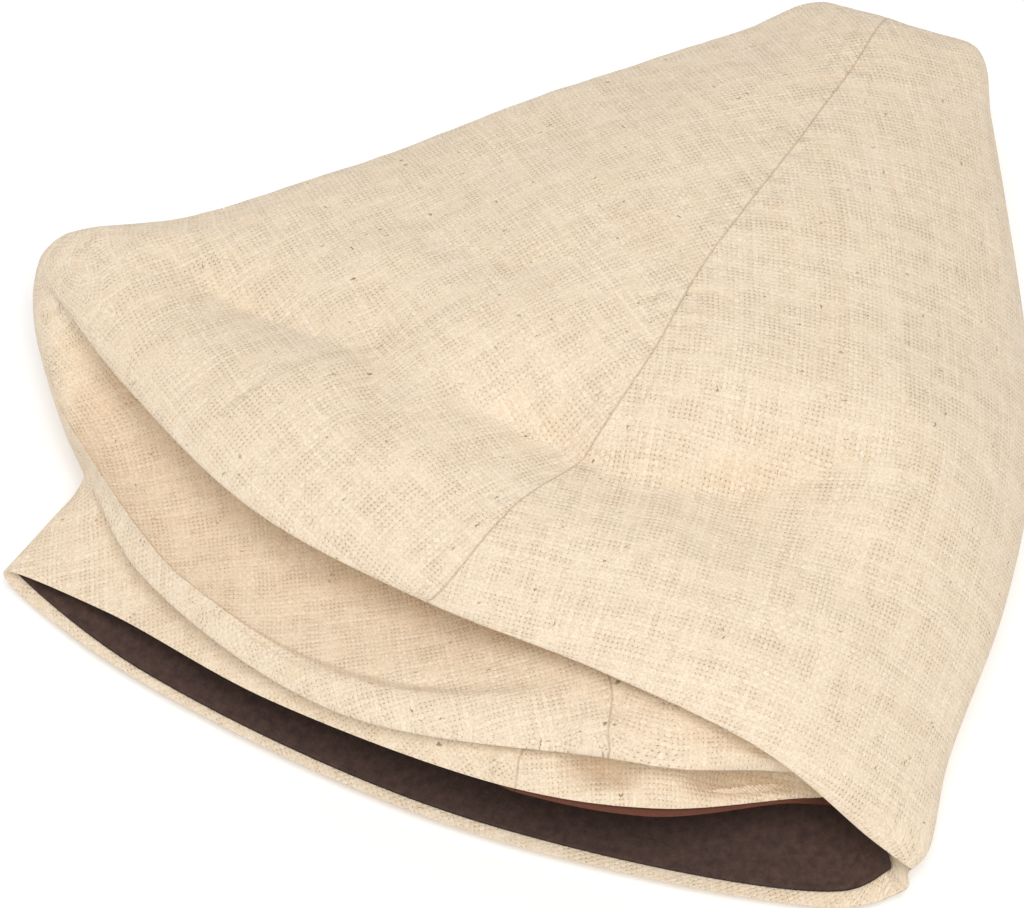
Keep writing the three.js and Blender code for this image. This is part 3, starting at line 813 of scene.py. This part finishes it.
def crown_half(name, columns, u, smooth, outer, hem, material):
    """One half of the crown with its hem, in two runs of rows whose threads lie differently."""
    place = outer[:, columns]
    flat, seam = half_cloth(name, smooth[:, columns])
    cut = int(np.searchsorted(u, TOP_LAYER))
    top, under = GRAIN[name]
    lower = np.concatenate([hem[:, columns], place[:cut + 1]])
    run = lengths(lower[:len(hem)], lower[1:len(hem) + 1])[::-1].cumsum(axis=0)[::-1]
    back = run[..., None] * unit(flat[:1] - flat[1:2])
    lower_flat = np.concatenate([flat[:1] + back, flat[:cut + 1]])
    lower_seam = np.concatenate([seam[:1] - run[..., None] * np.array([0.0, 1.0]), seam[:cut + 1]])
    grids = [
        (lower, False, {"cloth": turned(lower_flat, under), "seam": lower_seam}),
        (place[cut:], False, {"cloth": turned(flat[cut:], top), "seam": seam[cut:]}),
    ]
    piece = mesh_of(name.replace("crown", "linen"), grids, material, ("cloth", "seam"))
    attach(piece, "root")
    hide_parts(name)


def sweatband(material):
    """The brown band, from a little inside the rim straight back into the hollow."""
    share = np.linspace(0, 1, BAND["rows"])
    face, out = band_face(share)
    face = face - out * BAND["inset"]
    ahead = unit(ring_of(BAND_RIM, BAND_UP_RIGHT["rim"]) - ring_of(BAND_END, BAND_UP_RIGHT["end"]))
    lip = (ahead * BAND_LIP["out"] - np.array([0, 0, BAND_LIP["drop"]])) * NEAR_TOP[:, None]
    reach = np.linspace(1, 0, BAND_LIP["steps"] + 1)[:-1, None, None]
    edge = face[0] + lip * reach
    grid = np.concatenate([edge, face])
    around = np.cumsum(np.pad(lengths(face[0, :-1], face[0, 1:]), (1, 0)))
    depth = cloth_runs(grid, 0)
    depth -= depth[len(edge)]
    coords = np.stack([np.broadcast_to(around, depth.shape), depth], axis=-1)
    piece = mesh_of("band_brown", [(grid, True, {"cloth": coords})], material, ("cloth",))
    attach(piece, "root")
    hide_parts("sweatband")


def peak_outline():
    """The peak's outline on the surface: its root from left to right, and its front back to the left."""
    middle, half = (PEAK["left"] + PEAK["right"]) / 2, (PEAK["right"] - PEAK["left"]) / 2
    steps = PEAK["steps"]
    share = np.linspace(-1, 1, steps + 1)
    root_y = PEAK["root_mid"] + (PEAK["root_ends"] - PEAK["root_mid"]) * share ** 2
    angle = np.pi * np.arange(1, steps) / steps
    depth = PEAK["front_mid"] - PEAK["root_ends"]
    front_y = PEAK["root_ends"] + depth * np.sin(angle) ** PEAK["front_power"]
    root = np.stack([middle + half * share, root_y], axis=-1)
    front = np.stack([middle + half * np.cos(angle), front_y], axis=-1)
    return np.concatenate([root, front])


def peak(material):
    """The turned-back peak, a crescent board covered in linen."""
    outline = peak_outline()
    inward = outline.mean(axis=0) - outline
    size = np.linalg.norm(inward, axis=-1, keepdims=True)
    rings = []
    for inset, height in PEAK_EDGE:
        ring = outline + inward / size * np.minimum(inset, size * PEAK_CORE)
        rings.append(np.concatenate([ring - CENTRE[:2], np.full((len(ring), 1), height)], axis=-1))
    grid = np.array(rings)[::-1]
    flat = grid[..., :2]
    maps = {"cloth": flat, "seam": np.full_like(flat, OFF_SEAM)}
    piece = mesh_of("peak_covered", [(grid, True, maps)], material, ("cloth", "seam"))
    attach(piece, "root")
    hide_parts("peak")


def direction(azimuth, elevation):
    """The way from the cap towards a place round it, azimuth from the mouth's side, in degrees."""
    a, e = math.radians(azimuth), math.radians(elevation)
    return Vector((math.cos(e) * math.sin(a), -math.cos(e) * math.cos(a), math.sin(e)))


def camera():
    data = bpy.data.cameras.new("camera")
    data.sensor_width = CAMERA["sensor"]
    data.lens = CAMERA["lens"]
    data.clip_start, data.clip_end = CAMERA["clip"]
    lens = bpy.data.objects.new("camera", data)
    bpy.context.scene.collection.objects.link(lens)
    back = direction(CAMERA["azimuth"], CAMERA["elevation"])
    lens.location = Vector(CAMERA["target"]) * MM + back * CAMERA["distance"] * MM
    lens.rotation_mode = "QUATERNION"
    lens.rotation_quaternion = (-back).to_track_quat("-Z", "Y")
    bpy.context.scene.camera = lens


def area_light(name, azimuth, elevation, distance, size, power):
    data = bpy.data.lights.new(name, "AREA")
    data.shape = "DISK"
    data.size = size
    data.energy = power
    lamp = bpy.data.objects.new(name, data)
    bpy.context.scene.collection.objects.link(lamp)
    towards = direction(azimuth, elevation)
    lamp.location = towards * distance
    lamp.rotation_mode = "QUATERNION"
    lamp.rotation_quaternion = (-towards).to_track_quat("-Z", "Y")


def paper_floor():
    """A white floor a little below the cap, so that it never shows through the wall lying on it."""
    mesh = bpy.data.meshes.new("floor")
    half, low = FLOOR["half"], -FLOOR["below"] * MM
    corners = [(-half, -half, low), (half, -half, low), (half, half, low), (-half, half, low)]
    mesh.from_pydata(corners, [], [(0, 1, 2, 3)])
    paper = Shading("floor")
    paper.set(colour=(FLOOR["tone"], FLOOR["tone"], FLOOR["tone"], 1), roughness=0.9)
    paper.put(paper.shader.inputs["Emission Color"], (1, 1, 1, 1))
    paper.put(paper.shader.inputs["Emission Strength"], FLOOR["glow"])
    mesh.materials.append(paper.material)
    floor = bpy.data.objects.new("floor", mesh)
    bpy.context.scene.collection.objects.link(floor)


def studio():
    world = bpy.data.worlds.new("studio")
    world.use_nodes = True
    background = world.node_tree.nodes["Background"]
    background.inputs["Color"].default_value = (1, 1, 1, 1)
    background.inputs["Strength"].default_value = WORLD_LIGHT
    bpy.context.scene.world = world
    bpy.context.scene.view_settings.view_transform = "Standard"
    for light in LIGHTS:
        area_light(**light)
    paper_floor()


camera()
studio()
linen = linen_material()
brown = band_material()
u, smooth, outer = crown_grid()
hem = rim_hem(outer)
crown_half("crown_left", np.arange(0, HALF + 1), u, smooth, outer, hem, linen)
crown_half("crown_right", np.arange(HALF, AROUND + 1) % AROUND, u, smooth, outer, hem, linen)
sweatband(brown)
peak(linen)
